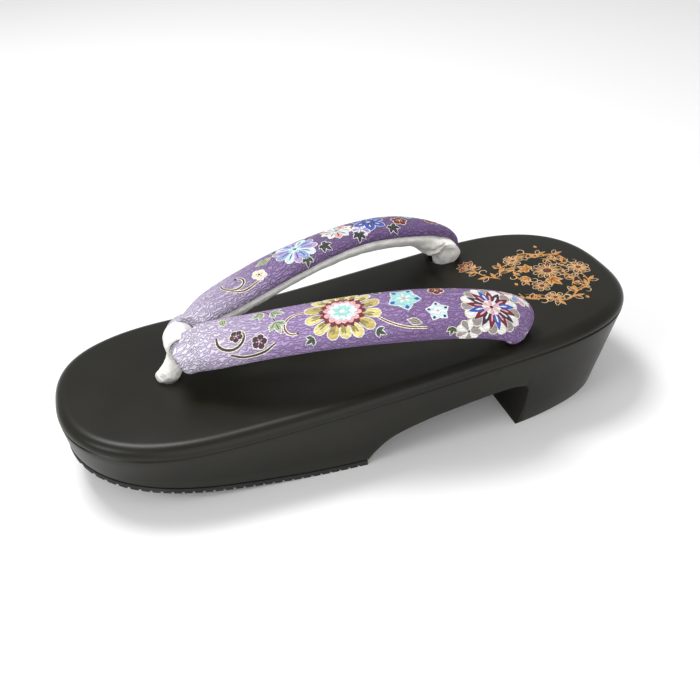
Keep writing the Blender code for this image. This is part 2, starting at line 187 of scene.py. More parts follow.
def noiseOf(tree, vector, scale, detail, roughness=0.5):
    return addNode(tree, "ShaderNodeTexNoise", {
        "Vector": vector, "Scale": scale, "Detail": detail, "Roughness": roughness,
    }).outputs["Fac"]


def remap(tree, value, low, high, newLow=0.0, newHigh=1.0):
    return addNode(tree, "ShaderNodeMapRange", {
        "Value": value, "From Min": low, "From Max": high, "To Min": newLow, "To Max": newHigh,
    }).outputs[0]


def finishShader(tree, shader, colour, height, strength, depth, roughness=None):
    # wires the colour, the embossed height and, where it varies, the roughness
    normal = addNode(tree, "ShaderNodeBump", {"Height": height, "Strength": strength, "Distance": depth}).outputs[0]
    for socket, value in (("Base Color", colour), ("Roughness", roughness), ("Normal", normal)):
        if value is not None:
            tree.links.new(value, shader.inputs[socket])


def strapUv(tree):
    return addNode(tree, "ShaderNodeUVMap", uv_map="strapUv").outputs[0]


def inkColour(tree):
    return addNode(tree, "ShaderNodeAttribute", attribute_name="inkColour").outputs["Color"]


def newGroup(name, numbers, results):
    # a node group with a vector and some numbers going in and some numbers coming out
    group = bpy.data.node_groups.new(name, "ShaderNodeTree")
    group.interface.new_socket("Vector", in_out="INPUT", socket_type="NodeSocketVector")
    for direction, sockets in (("INPUT", numbers), ("OUTPUT", results)):
        for socket in sockets:
            group.interface.new_socket(socket, in_out=direction, socket_type="NodeSocketFloat")
    return group, group.nodes.new("NodeGroupInput").outputs, group.nodes.new("NodeGroupOutput").inputs


def grainGroup():
    # wavy embossed grain that runs along the strap: height and a mask of its ridges
    grain = {
        "sway": (430, 480, 1), "swayDepth": 20.0, "waves": 5100.0, "patches": (620, 900, 1), "fine": (1500, 2100, 1),
    }
    group, entry, leave = newGroup("clothGrain", ["Fine Share"], ["Height", "Ridges"])

    def layer(scale, detail):
        return noiseOf(group, place(group, entry["Vector"], scale), 1.0, detail=detail)
    across = addNode(group, "ShaderNodeSeparateXYZ", {0: entry["Vector"]}).outputs[1]
    sway = maths(group, "MULTIPLY", layer(grain["sway"], 1.0), grain["swayDepth"])
    phase = maths(group, "ADD", maths(group, "MULTIPLY", across, grain["waves"]), sway)
    wave = remap(group, maths(group, "SINE", phase), -1.0, 1.0)
    ridge = maths(group, "MULTIPLY", wave, remap(group, layer(grain["patches"], 1.0), 0.3, 0.65, 0.55, 1.0))
    fine = maths(group, "MULTIPLY", layer(grain["fine"], 2.0), entry["Fine Share"])
    group.links.new(maths(group, "ADD", ridge, fine), leave["Height"])
    group.links.new(ridge, leave["Ridges"])
    return group


def mottleGroup():
    # slow and fine unevenness in two masks, for finishes that vary a little all over
    group, entry, leave = newGroup("mottle", ["Slow Scale", "Fine Scale"], ["Slow", "Fine"])
    group.links.new(noiseOf(group, entry["Vector"], entry["Slow Scale"], detail=2.0), leave["Slow"])
    group.links.new(noiseOf(group, entry["Vector"], entry["Fine Scale"], detail=4.0, roughness=0.6), leave["Fine"])
    return group


clothGrain = grainGroup()
mottle = mottleGroup()


def useMottle(tree, slowScale, fineScale):
    vector = addNode(tree, "ShaderNodeTexCoord").outputs["Object"]
    scales = {"Vector": vector, "Slow Scale": slowScale, "Fine Scale": fineScale}
    node = addNode(tree, "ShaderNodeGroup", scales, node_tree=mottle)
    return node.outputs["Slow"], node.outputs["Fine"]


def useGrain(tree, vector):
    node = addNode(tree, "ShaderNodeGroup", {"Vector": vector, "Fine Share": 0.35}, node_tree=clothGrain)
    return node.outputs["Height"], node.outputs["Ridges"]


def makeMottled(name, finish):
    # a finish that varies slowly between two colours, with fine relief
    material, tree, shader = newMaterial(name, finish["colour"], finish["roughness"])
    for socket, value in finish["shader"].items():
        shader.inputs[socket].default_value = value
    slow, fine = useMottle(tree, *finish["scales"])
    first = inkColour(tree) if finish["inked"] else finish["colour"]
    colour = blendColour(tree, remap(tree, slow, *finish["spread"]), first, finish["other"])
    relief, roughness = fine, None
    if finish["slowRelief"]:
        relief = maths(tree, "ADD", maths(tree, "MULTIPLY", slow, finish["slowRelief"]), fine)
    if finish["roughnessOver"]:
        source = slow if finish["roughnessOver"] == "slow" else fine
        roughness = remap(tree, source, 0.3, 0.7, *finish["roughnessRange"])
    finishShader(tree, shader, colour, relief, *finish["relief"], roughness)
    return material


plain = {
    "shader": {}, "inked": False, "slowRelief": 0, "roughnessOver": "fine", "roughnessRange": (0.3, 0.5),
}
lacquerFinish = {
    **plain, "colour": rgb(22, 21, 15), "other": rgb(31, 30, 22), "spread": (0.35, 0.75), "scales": (22.0, 1400.0),
    "roughness": 0.31, "roughnessOver": "slow", "roughnessRange": (0.28, 0.36), "relief": (0.25, 0.00004),
    "shader": {"Specular IOR Level": 0.25},
}
rubberFinish = {
    **plain, "colour": rgb(26, 26, 25), "other": rgb(44, 43, 40), "spread": (0.45, 0.8), "scales": (60.0, 2600.0),
    "roughness": 0.78, "roughnessRange": (0.7, 0.88), "relief": (0.4, 0.0001),
}
# the flannel is darker where its slow relief sinks: painted shade in the fleece's hollows
flannelFinish = {
    **plain, "colour": rgb(252, 251, 247), "other": rgb(228, 226, 218), "spread": (0.35, 0.7, 1.0, 0.0),
    "scales": (260.0, 2600.0), "roughness": 0.95, "roughnessOver": "", "slowRelief": 1.4, "relief": (0.55, 0.0004),
    "shader": {"Sheen Weight": 0.35, "Sheen Roughness": 0.6},
}
foilFinish = {
    **plain, "colour": rgb(214, 150, 70), "other": rgb(150, 84, 40), "spread": (0.45, 0.7, 0.0, 0.5), "inked": True,
    "scales": (420.0, 2600.0), "roughness": 0.40, "relief": (0.3, 0.00005), "shader": {"Metallic": 0.35},
}


def makeCoverCloth():
    # pale at the nose, deeper towards the rear; darker along both edges, partly the cloth's own colour and partly
    # painted shade, and darker in the grain's hollows as painted shade
    finish = {
        "pale": rgb(236, 229, 246), "middle": rgb(186, 160, 208), "deep": rgb(150, 120, 172), "edge": rgb(84, 60, 108),
        "middleAt": (0.008, 0.046), "deepAt": (0.046, 0.092), "edgeAt": (0.006, 0.016), "roughness": 0.42,
    }
    material, tree, shader = newMaterial("purpleCover", finish["middle"], finish["roughness"])
    uv = strapUv(tree)
    parts = addNode(tree, "ShaderNodeSeparateXYZ", {0: uv}).outputs
    slow = noiseOf(tree, place(tree, uv, (28, 60, 1)), 1.0, detail=2.0)
    along = maths(tree, "ADD", parts[0], remap(tree, slow, 0.3, 0.7, -0.006, 0.006))
    colour = blendColour(tree, remap(tree, along, *finish["middleAt"]), finish["pale"], finish["middle"])
    colour = blendColour(tree, remap(tree, along, *finish["deepAt"]), colour, finish["deep"])
    # darker along both edges, more away from the nose: partly the cloth's own colour, partly painted shade
    edgeDyeAndShade = remap(tree, maths(tree, "ABSOLUTE", parts[1]), *finish["edgeAt"], 0.0, 0.55)
    fromNose = remap(tree, along, 0.02, 0.07, 0.25, 1.0)
    colour = blendColour(tree, maths(tree, "MULTIPLY", edgeDyeAndShade, fromNose), colour, finish["edge"])
    height, ridges = useGrain(tree, uv)
    # painted shade: the grain's hollows are darkened towards the edge colour
    colour = blendColour(tree, remap(tree, ridges, 0.05, 0.55, 0.60, 0.0), colour, finish["edge"])
    finishShader(tree, shader, colour, height, 1.0, 0.00052, remap(tree, ridges, 0.0, 1.0, 0.62, 0.38))
    return material


def makePrintInk():
    material, tree, shader = newMaterial("printInk", rgb(240, 235, 205), 0.45)
    height, ridges = useGrain(tree, strapUv(tree))
    # painted shade: the grain's hollows are darkened towards a dark plum
    colour = blendColour(tree, remap(tree, ridges, 0.05, 0.55, 0.22, 0.0), inkColour(tree), rgb(70, 50, 90))
    finishShader(tree, shader, colour, height, 0.9, 0.00032, remap(tree, ridges, 0.0, 1.0, 0.6, 0.36))
    return material


lacquer = makeMottled("blackLacquer", lacquerFinish)
rubber = makeMottled("blackRubber", rubberFinish)
flannel = makeMottled("whiteFlannel", flannelFinish)
coverCloth = makeCoverCloth()
printInk = makePrintInk()
goldFoil = makeMottled("goldFoil", foilFinish)
print("materials done")


# Wooden body
sole = {
    "length": 0.240, "width": 0.0918,
    "toeRound": 0.0588, "heelRound": 0.0630, "toePower": 2.4, "heelPower": 2.6,
    "ballHeight": 0.0317, "heelHeight": 0.0433,
    "toeSpring": 0.0165, "springLength": 0.1025, "sheet": 0.0025,
    "rollWidth": 0.0050, "rollDepth": 0.0042, "creaseDepth": 0.0009, "creaseHeight": 0.0016,
    "footBreak": 0.0006, "holeDepth": 0.0100,
    "archStart": -0.0078, "archHeight": 0.0220, "heelStart": 0.0578, "undercut": 0.0036, "archCorner": 0.0030,
    "cornerRise": 0.97, "archSteps": 52, "cornerSteps": 12, "undercutSteps": 14, "rollSteps": 12,
    "stepStart": 0.0022, "stepLength": 0.0022, "clearOfStep": 0.0025, "edgeSoftening": 0.0005,
}
holes = ((0, -0.0760, 0.0048), (0.0333, 0.0570, 0.00574), (-0.0333, 0.0570, 0.00574))  # x, y, radius
halfLength = sole["length"] / 2
halfWidth = sole["width"] / 2
bedProfile = (
    (0.00, 0.24), (0.10, 0.07), (0.23, 0.00), (0.33, 0.05), (0.42, 0.15),
    (0.50, 0.29), (0.67, 0.62), (0.83, 0.91), (0.92, 0.99), (1.00, 1.00),
)
wallTaperRows = ((0.00, 0.0012), (0.19, 0.0045), (0.50, 0.0018), (0.69, 0.0018), (0.85, 0.00665), (1.00, 0.0095))
creaseRows = ((0.18, 0.14), (0.35, 0.45), (0.55, 1.00), (0.75, 0.62), (1.00, 0.15))
archRows = (
    (0.00, 0.07), (0.01, 0.15), (0.05, 0.31), (0.11, 0.48), (0.18, 0.60),
    (0.31, 0.73), (0.45, 0.83), (0.65, 0.93), (0.80, 0.99), (0.90, 1.00),
)


def bedHeight(y):
    share = spline(bedProfile, (y + halfLength) / sole["length"])[0]
    return sole["ballHeight"] + share * (sole["heelHeight"] - sole["ballHeight"])


def floorHeight(y):
    ahead = sole["springLength"] - halfLength - y
    return sole["toeSpring"] * (max(ahead, 0) / sole["springLength"]) ** 2


def underHeight(y):
    # the wood ends a little higher ahead of the arch, where the sheet lies below it
    ahead = y < sole["archStart"] + sole["stepStart"] + sole["stepLength"] / 2
    return floorHeight(y) + sole["sheet"] if ahead else 0.0


def wallTaper(y):
    return spline(wallTaperRows, (y + halfLength) / sole["length"])[0]


def endPoint(share, middleY, reach, power):
    # a point of a rounded end, share 0 where the straight side starts and 1 at the tip
    angle = math.pi / 2 * share
    return halfWidth * max(math.cos(angle), 0) ** (2 / power), middleY + reach * math.sin(angle) ** (2 / power)


def halfOutline(steps=40, sides=26):
    toeY = sole["toeRound"] - halfLength
    heelY = halfLength - sole["heelRound"]
    stepY = sole["archStart"] + sole["stepStart"]
    stepMiddle = stepY + sole["stepLength"] / 2
    sideYs = [toeY + (heelY - toeY) * i / sides for i in range(1, sides)]
    sideYs = [y for y in sideYs if abs(y - stepMiddle) > sole["clearOfStep"]] + [stepY, stepY + sole["stepLength"]]
    points = [endPoint(1 - i / steps, toeY, -sole["toeRound"], sole["toePower"]) for i in range(steps + 1)]
    points += [(halfWidth, y) for y in sorted(sideYs)]
    points += [endPoint(i / steps, heelY, sole["heelRound"], sole["heelPower"]) for i in range(steps + 1)]
    points[0], points[-1] = (0.0, -halfLength), (0.0, halfLength)
    return points


outlinePoints = halfOutline()


def insetPoint(i, distance):
    # outline point i moved inwards
    points = outlinePoints
    x, y = points[i]
    before = points[i - 1] if i else (-points[1][0], points[1][1])
    after = points[i + 1] if i + 1 < len(points) else (-points[-2][0], points[-2][1])
    along = Vector((after[0] - before[0], after[1] - before[1])).normalized()
    return max(x - distance * along.y, 0), y + distance * along.x


wallRows = 4
ringCount = sole["rollSteps"] + 1 + len(creaseRows) + wallRows + 2


def bodyRing(k, y):
    # inset and height of ring k, counted from the rim's inner edge down to the foot
    if k <= sole["rollSteps"]:
        angle = math.pi / 2 * k / sole["rollSteps"]
        return sole["rollWidth"] * (1 - math.sin(angle)), bedHeight(y) - sole["rollDepth"] * (1 - math.cos(angle))
    k -= sole["rollSteps"] + 1
    share, depth = creaseRows[min(k, len(creaseRows) - 1)]
    inset = depth * sole["creaseDepth"]
    height = bedHeight(y) - (sole["rollDepth"] + share * sole["creaseHeight"])
    if k < len(creaseRows):
        return inset, height
    k -= len(creaseRows) - 1
    if k <= wallRows:
        share = k / wallRows
        return between(inset, wallTaper(y), share), between(height, underHeight(y) + sole["footBreak"], share)
    # the broken lower edge
    outer, above = (0.3, 0.3) if k == wallRows + 1 else (1.0, 0.0)
    return wallTaper(y) + sole["footBreak"] * outer, underHeight(y) + sole["footBreak"] * above


def cutterObject(name, bm):
    return linkObject(name, newMesh(name, bm))


def archCutter():
    top = sole["heelStart"] + sole["undercut"]
    cornerTop = sole["cornerRise"] * sole["archHeight"]
    corner = sole["archCorner"]
    profile = [(sole["archStart"], -0.01)]
    for i in range(sole["archSteps"] + 1):
        share = 0.9 * (i / sole["archSteps"]) ** 2
        height = sole["archHeight"] * spline(archRows, share)[0]
        profile.append((sole["archStart"] + share * (top - sole["archStart"]), height))
    for i in range(sole["cornerSteps"] + 1):
        angle = math.pi / 2 * (1 - i / sole["cornerSteps"])
        profile.append((top - corner * (1 - math.cos(angle)), cornerTop - corner * (1 - math.sin(angle))))
    for i in range(1, sole["undercutSteps"] + 1):
        share = i / sole["undercutSteps"]
        profile.append((top - sole["undercut"] * share ** 2, (cornerTop - corner) * (1 - share)))
    profile.append((sole["heelStart"], -0.01))
    bm = bmesh.new()
    edge = bmesh.ops.create_circle(bm, cap_ends=True, segments=len(profile), radius=1)["verts"]
    for vert, (y, z) in zip(edge, profile):
        vert.co = (-0.7 * sole["width"], y, z)
    made = bmesh.ops.extrude_face_region(bm, geom=bm.faces[:])["geom"]
    far = [vert for vert in made if isinstance(vert, bmesh.types.BMVert)]
    bmesh.ops.translate(bm, verts=far, vec=(1.4 * sole["width"], 0, 0))
    bmesh.ops.recalc_face_normals(bm, faces=bm.faces)
    return cutterObject("archCutter", bm)


def holeCutter(x, y, radius):
    bm = bmesh.new()
    depth = 2 * sole["holeDepth"]
    bmesh.ops.create_cone(bm, cap_ends=True, segments=64, radius1=radius, radius2=radius, depth=depth)
    bmesh.ops.translate(bm, verts=bm.verts, vec=(x, y, bedHeight(y)))
    return cutterObject("holeCutter", bm)


def makeWoodBody():
    bm = bmesh.new()
    count = len(outlinePoints)

    def ringCorner(i, k):
        x, y = insetPoint(i, bodyRing(k, outlinePoints[i][1])[0])
        return x, y, bodyRing(k, y)[1]

    def wallCorner(i, k):
        # the ring goes along one side and comes back along the other
        i %= 2 * count - 2
        side = 1 if i < count else -1
        x, y, z = ringCorner(i if i < count else 2 * count - 2 - i, k)
        return side * x, y, z

    def capCorner(ring, across):
        def corner(i, k):
            x, y, z = ringCorner(i, ring)
            return x * (1 - 2 * k / across), y, z
        return corner

    layGrid(bm, 2 * count - 2, ringCount - 1, wallCorner)
    layGrid(bm, count - 1, 12, capCorner(0, 12))
    layGrid(bm, count - 1, 2, capCorner(ringCount - 1, 2))
    bmesh.ops.remove_doubles(bm, verts=bm.verts, dist=1e-6)
    bmesh.ops.recalc_face_normals(bm, faces=bm.faces)
    body = finishPiece("woodBody", bm, lacquer, replaced=("sole_base",))
    cutters = [archCutter()] + [holeCutter(*hole) for hole in holes]
    for cutter in cutters:
        addModifier(body, "BOOLEAN", object=cutter, solver="EXACT")
    addModifier(
        body, "BEVEL", width=sole["edgeSoftening"], segments=2, limit_method="ANGLE", angle_limit=math.radians(50),
    )
    applyModifiers(body)
    body.data.shade_smooth()
    body.data.set_sharp_from_angle(angle=math.radians(40))
    for cutter in cutters:
        bpy.data.objects.remove(cutter)
    return body


woodBody = makeWoodBody()
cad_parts["front_outsole"].data.materials.clear()
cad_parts["front_outsole"].data.materials.append(rubber)
print("body and sheet done", len(woodBody.data.polygons))


# Strap
strap = {
    "width": 0.0232, "thickness": 0.0126, "rise": 0.0236, "coverWall": 0.0010, "power": 2.2,
    # degrees that the cover reaches round each edge, more at the nose and at the rear
    "outerWrap": 26.0, "innerWrap": 3.0, "noseWrap": 50.0, "rearWrap": 22.0, "outerRetreat": 40.0,
    "noseY": -0.0733, "holeY": 0.0570, "holeX": 0.0333, "noseLength": 0.0052, "jointLength": 0.0190,
    "noseCut": 0.0042, "cutLength": 0.020, "besideLoop": 0.0045, "loopEnd": -0.0642, "closing": 0.0045,
    "halfSeam": 0.00015, "reach": 0.0005, "noseReach": 0.0065, "lean": 0.0012, "crease": 0.00022,
    "bunching": 0.055, "columns": 260, "across": 56,
}
armRows = (
    # share along, share out, share of the rise, tilt in degrees, shares of width and thickness
    (0.000, 0.270, 0.66, 32, 0.80, 0.92),
    (0.065, 0.235, 0.68, 26, 0.83, 0.95),
    (0.159, 0.393, 0.81, 10, 0.94, 1.00),
    (0.277, 0.556, 0.92, 6, 0.97, 1.02),
    (0.410, 0.725, 1.00, 7, 0.98, 1.01),
    (0.543, 0.872, 1.01, 12, 0.98, 1.00),
    (0.677, 1.000, 0.96, 15, 0.99, 1.00),
    (0.797, 1.080, 0.84, 14, 0.99, 1.00),
    (0.900, 1.118, 0.66, 18, 0.96, 0.99),
    (0.966, 1.128, 0.47, 30, 0.88, 0.94),
    (0.998, 1.102, 0.31, 46, 0.80, 0.88),
    (1.005, 1.052, 0.16, 57, 0.72, 0.80),
    (1.002, 1.024, 0.08, 60, 0.57, 0.66),
    (1.000, 1.010, 0.00, 61, 0.46, 0.56),
    (1.000, 1.000, -0.36, 62, 0.42, 0.54),
)


def measureArm():
    # the arm's table in metres, with the distance along it first
    rows, travelled, previous = [], 0.0, None
    for along, out, rise, tilt, width, thickness in armRows:
        y = strap["noseY"] + along * (strap["holeY"] - strap["noseY"])
        centre = Vector((out * strap["holeX"], y, bedHeight(y) + rise * strap["rise"]))
        if previous:
            travelled += (centre - previous).length
        previous = centre
        rows.append((travelled, *centre, tilt, width * strap["width"], thickness * strap["thickness"]))
    return rows


armPath = measureArm()
armLength = armPath[-1][0]
frameCache = {}


def armFrame(distance):
    # centre, outward and face directions, width and thickness
    key = round(distance * 1e6)
    if key not in frameCache:
        x, y, z, tilt, width, thickness = spline(armPath, distance)
        reach = strap["reach"] + strap["noseReach"] * (1 - smoothStep(0.012, 0.034, distance))
        behind = Vector(spline(armPath, distance - reach)[:3])
        ahead = Vector(spline(armPath, distance + reach)[:3])
        along = (ahead - behind).normalized()
        across = Vector((1, 0, 0))
        across = (across - across.dot(along) * along).normalized()
        up = across.cross(along)
        turn = math.radians(tilt)
        face = up * math.cos(turn) + across * math.sin(turn)
        outward = across * math.cos(turn) - up * math.sin(turn)
        frameCache[key] = Vector((x, y, z)), outward, face, width, thickness
    return frameCache[key]


def innerLimit(y):
    share = smoothStep(strap["loopEnd"], strap["loopEnd"] + strap["closing"], y)
    return between(strap["besideLoop"], strap["halfSeam"], share)


def noseScale(distance):
    if distance >= strap["noseLength"]:
        return 1.0
    return math.sqrt(max(1 - (1 - distance / strap["noseLength"]) ** 2, 0))


def sectionPoint(distance, angle, lift=0.0):
    # angle 0 is the outer edge, 90 the face, 180 the inner edge; lift is out from the skin
    centre, outward, face, width, thickness = armFrame(distance)
    turn = math.radians(angle)
    power = 2 / strap["power"]
    scale = noseScale(distance)
    out = (width / 2 + lift) * scale * rounded(math.cos(turn), power)
    up = (thickness / 2 + lift) * scale * rounded(math.sin(turn), power)
    point = centre + outward * out + face * up
    if distance < strap["cutLength"]:
        # the upper side of the nose is cut back beside the loop
        above = smoothStep(0.0, 0.9, (point.z - centre.z) / (thickness / 2))
        point.y += strap["noseCut"] * above * (1 - distance / strap["cutLength"]) ** 1.5
    point.x = max(point.x, innerLimit(point.y) - min(lift, 0))
    return point


def coverEdges(distance):
    share = max(1 - distance / strap["jointLength"], 0)
    nearNose = share * share * (3 - 2 * share)
    atRear = smoothStep(0.80, 0.93, distance / armLength)
    low = strap["outerRetreat"] * atRear - strap["outerWrap"]
    return low, 180 + strap["innerWrap"] + strap["noseWrap"] * nearNose + strap["rearWrap"] * atRear


arcCache = {}
arcSteps = 72
arcSpacing = 0.0005


def arcTable(distance):
    # arc length from the middle of the face to each of a set of angles
    key = round(distance / arcSpacing)
    if key not in arcCache:
        angles = [-40 + 260 * i / arcSteps for i in range(arcSteps + 1)]
        points = [sectionPoint(key * arcSpacing, angle) for angle in angles]
        lengths = [0.0]
        for a, b in zip(points, points[1:]):
            lengths.append(lengths[-1] + (b - a).length)
        middle = lengths[arcSteps // 2]
        arcCache[key] = angles, [middle - length for length in lengths]
    return arcCache[key]


def arcOf(distance, angle):
    angles, arcs = arcTable(distance)
    share = (angle - angles[0]) / (angles[-1] - angles[0]) * arcSteps
    i = min(max(int(share), 0), arcSteps - 1)
    return arcs[i] + (arcs[i + 1] - arcs[i]) * (share - i)


def angleOf(distance, arc):
    angles, arcs = arcTable(distance)
    low, high = 0, arcSteps
    while high - low > 1:
        middle = (low + high) // 2
        if arcs[middle] > arc:
            low = middle
        else:
            high = middle
    span = arcs[high] - arcs[low]
    return angles[low] + (angles[high] - angles[low]) * ((arc - arcs[low]) / span if span else 0)


def armStation(i, count):
    # distances are closer together at the nose and at the rear bend
    share = i / count
    return armLength * (share - strap["bunching"] * math.sin(2 * math.pi * share))


def coverLift(distance, angle):
    # shallow creases where the strap bends down to the bed
    ramp = smoothStep(0.86, 0.97, distance / armLength)
    return strap["crease"] * ramp * math.sin(distance * 1900 + 1.3 * math.sin(math.radians(angle) * 3))


def leanArm(bm, side):
    # hand work: the near arm's rear bend sits a little further back and the far arm's a little less far
    for vert in bm.verts:
        y = vert.co.y
        share = smoothStep(0.030, 0.058, y) * smoothStep(0.0, 0.007, vert.co.z - bedHeight(y))
        vert.co.y += side * strap["lean"] * share


def armUv(distance, arc, side):
    # the far arm's grain starts elsewhere
    return distance, arc + (0.0 if side > 0 else 0.4)


def facingAway(face, side):
    # above 0 where a face looks away from the arm's middle line
    middle = face.calc_center_median()
    share = (middle.y - strap["noseY"]) / (strap["holeY"] - strap["noseY"])
    x, y, z = spline(armPath, min(share, 1) * armLength * 0.95)[:3]
    return face.normal.dot(middle - Vector((side * x, y, z)))


def makeCover(name, side):
    bm = bmesh.new()
    uvLayer = bm.loops.layers.uv.new("strapUv")
    columns, across = strap["columns"], strap["across"]
    marks = {}

    def spot(i, k):
        distance = armStation(i, columns)
        low, high = coverEdges(distance)
        return distance, low + (high - low) * k / across

    def corner(i, k):
        distance, angle = spot(i, k)
        return sectionPoint(distance, angle, coverLift(distance, angle))

    for vert, i, k in layGrid(bm, columns, across, corner):
        distance, angle = spot(i, k)
        marks[vert] = distance, arcOf(distance, angle)
    setUv(bm, uvLayer, lambda vert: armUv(*marks[vert], side))
    tip = [vert for vert in bm.verts if marks[vert][0] < 1e-6]
    bmesh.ops.remove_doubles(bm, verts=tip, dist=1e-5)
    if side < 0:
        mirrorAcross(bm)
    if sum(facingAway(face, side) * face.calc_area() for face in bm.faces) < 0:
        bmesh.ops.reverse_faces(bm, faces=bm.faces)
    leanArm(bm, side)
    piece = finishPiece(name, bm, coverCloth, sharp=60, replaced=("strap_cover",))
    addModifier(piece, "SOLIDIFY", thickness=strap["coverWall"], offset=-1)


lining = {
    "columns": 220, "around": 64, "depth": 0.0013, "innerFullness": 0.0009, "outerFullness": 0.0016,
    "swell": 0.0046, "fold": 0.0010, "wobble": 0.0003, "fineWobble": 0.00022,
}


def makeLining(name, side):
    # follows the arm inside the cover, is full where it shows below, and gathers at the rear hole
    bm = bmesh.new()
    columns, around = lining["columns"], lining["around"]

    def corner(i, k):
        distance = armStation(i, columns)
        share = distance / armLength
        angle = 360 * k / around
        low, high = coverEdges(distance)
        covered = low <= (angle + 90) % 360 - 90 <= high
        lift = -lining["depth"]
        if not covered:
            fromEdge = min(abs((angle - edge + 180) % 360 - 180) for edge in (low, high))
            rear = smoothStep(0.77, 0.91, share) * (1 - 0.9 * smoothStep(0.925, 0.958, share))
            fullness = lining["innerFullness"] if 270 < angle or angle < 90 else lining["outerFullness"]
            under = math.sin(math.pi * smoothStep(150, 330, angle))
            turn = math.radians(angle)
            fold = math.cos(turn * 7 + distance * 420) + 0.4 * math.cos(turn * 15 - distance * 700)
            swell = rear * under * (lining["swell"] + lining["fold"] * fold)
            lift += fullness * smoothStep(0, 16, fromEdge) + swell * smoothStep(0, 24, fromEdge)
        point = sectionPoint(distance, angle, lift)
        if covered:
            return point
        wobble = noise.noise(point * 260) * lining["fineWobble"] + noise.noise(point * 90) * lining["wobble"]
        return point + (point - armFrame(distance)[0]).normalized() * wobble

    layGrid(bm, columns, around, corner)
    closeTube(bm)
    leanArm(bm, side)
    if side < 0:
        mirrorAcross(bm)
    bmesh.ops.recalc_face_normals(bm, faces=bm.faces)
    node = "left_lining" if side > 0 else "right_lining"
    piece = finishPiece(name, bm, flannel, sharp=70, replaced=(node,))


makeCover("nearCover", 1)
makeCover("farCover", -1)
makeLining("nearLining", 1)
makeLining("farLining", -1)
print("strap done", round(armLength, 4))


# Thong: a cloth loop over the strap's neck, its two legs twisted together down to the hole
thong = {
    "footY": -0.0760, "jointBack": 0.0072, "jointRise": 0.0153, "neck": 0.0036,
    "bandWidth": 0.0046, "bandThickness": 0.0013, "depth": 0.007, "legShare": 0.34, "clearance": 0.0003,
    "columns": 150, "around": 28, "power": 0.8, "voxel": 0.00030, "fold": 0.00062, "halfNeck": 0.0062,
}
thongFoot = Vector((0, thong["footY"], bedHeight(thong["footY"])))
thongJoint = thongFoot + Vector((0, thong["jointBack"], thong["jointRise"]))
legRows = (
    # share of the leg's rise, radius, distance from the middle (mm), turn
    (0.00, 1.9, 1.3, 250),
    (0.30, 2.7, 1.2, 205),
    (0.36, 3.4, 1.2, 185),
    (0.45, 4.1, 1.2, 155),
    (0.58, 4.4, 1.1, 110),
    (0.70, 3.9, 1.2, 65),
    (0.82, 2.7, 1.9, 25),
    (1.00, 1.3, 3.8, 0),
)


def thongFrame(p):
    # centre, across and out directions, half sizes at share p of the cloth's length
    around = thong["neck"] + thong["clearance"] + thong["bandThickness"]
    legShare = thong["legShare"]
    q, side = (p, -1) if p < 0.5 else (1 - p, 1)
    if q < legShare:
        rise = q / legShare
        low = thongFoot - Vector((0, 0, thong["depth"]))
        axis = low.lerp(thongJoint - Vector((0, 0.0008, around * 0.55)), rise)
        axis.y = low.y + (thongJoint.y - low.y) * smoothStep(0.35, 1.1, rise) * 0.95
        radius, spread, turn = spline(legRows, rise)
        turn = math.radians(turn)
        out = Vector((math.sin(turn), side * math.cos(turn), 0))
        across = Vector((math.cos(turn), -side * math.sin(turn), 0))
        merge = smoothStep(0.78, 1.0, rise)
        halfAcross = radius / 1000 * (1 - merge) + thong["bandWidth"] * merge
        halfOut = radius / 1000 * (1 - merge) + thong["bandThickness"] * merge
        return axis + out * (spread / 1000), across, out, halfAcross, halfOut
    share = (q - legShare) / (0.5 - legShare)
    turn = math.radians(-35 + 125 * share)
    out = Vector((0, side * math.cos(turn), math.sin(turn)))
    swell = 1 + 0.35 * share
    return thongJoint + out * around, Vector((1, 0, 0)), out, thong["bandWidth"] * swell, thong["bandThickness"]


def makeThong():
    bm = bmesh.new()

    def corner(i, k):
        centre, across, out, halfAcross, halfOut = thongFrame(i / thong["columns"])
        turn = 2 * math.pi * k / thong["around"]
        point = centre + across * halfAcross * rounded(math.cos(turn), thong["power"])
        return point + out * halfOut * rounded(math.sin(turn), thong["power"])

    layGrid(bm, thong["columns"], thong["around"], corner)
    closeTube(bm)
    bmesh.ops.recalc_face_normals(bm, faces=bm.faces)
    piece = finishPiece("toeThong", bm, flannel, sharp=80, replaced=("toe_thong",))
    addModifier(piece, "REMESH", mode="VOXEL", voxel_size=thong["voxel"])
    addModifier(piece, "SMOOTH", iterations=4)
    applyModifiers(piece)
    for vert in piece.data.vertices:
        out = vert.co - thongFoot
        # folds wind round the lump as the two legs are twisted together
        lump = smoothStep(0.0, 0.003, out.z) * (1 - smoothStep(0.0075, 0.0110, out.z))
        fold = math.sin(2 * math.atan2(out.y, out.x) + out.z * 520 + 0.9)
        crease = 0.00015 * fold - thong["fold"] * smoothStep(0.55, 1.0, fold)
        rough = noise.noise(vert.co * 420) * 0.00018 + noise.noise(vert.co * 1100) * 0.00007
        vert.co += vert.normal * (lump * crease + rough)
    piece.data.shade_smooth()
    return piece


def makeNeck():
    # the pinched cover between the two arms, inside the loop
    bm = bmesh.new()
    columns, around = 24, 24

    def corner(i, k):
        x = (i / columns * 2 - 1) * thong["halfNeck"]
        radius = thong["neck"] * (1 + 0.28 * smoothStep(0.0030, thong["halfNeck"], abs(x))) * 0.98
        turn = 2 * math.pi * k / around
        return thongJoint + Vector((x, radius * math.cos(turn), radius * math.sin(turn)))

    layGrid(bm, columns, around, corner)
    setUv(bm, bm.loops.layers.uv.new("strapUv"), lambda vert: (vert.co.x * 0.1, vert.co.z))
    closeTube(bm)
    bmesh.ops.recalc_face_normals(bm, faces=bm.faces)
    finishPiece("strapNeck", bm, coverCloth, sharp=70, replaced=("strap_cover",))


toeThong = makeThong()
makeNeck()
print("thong done", len(toeThong.data.polygons))


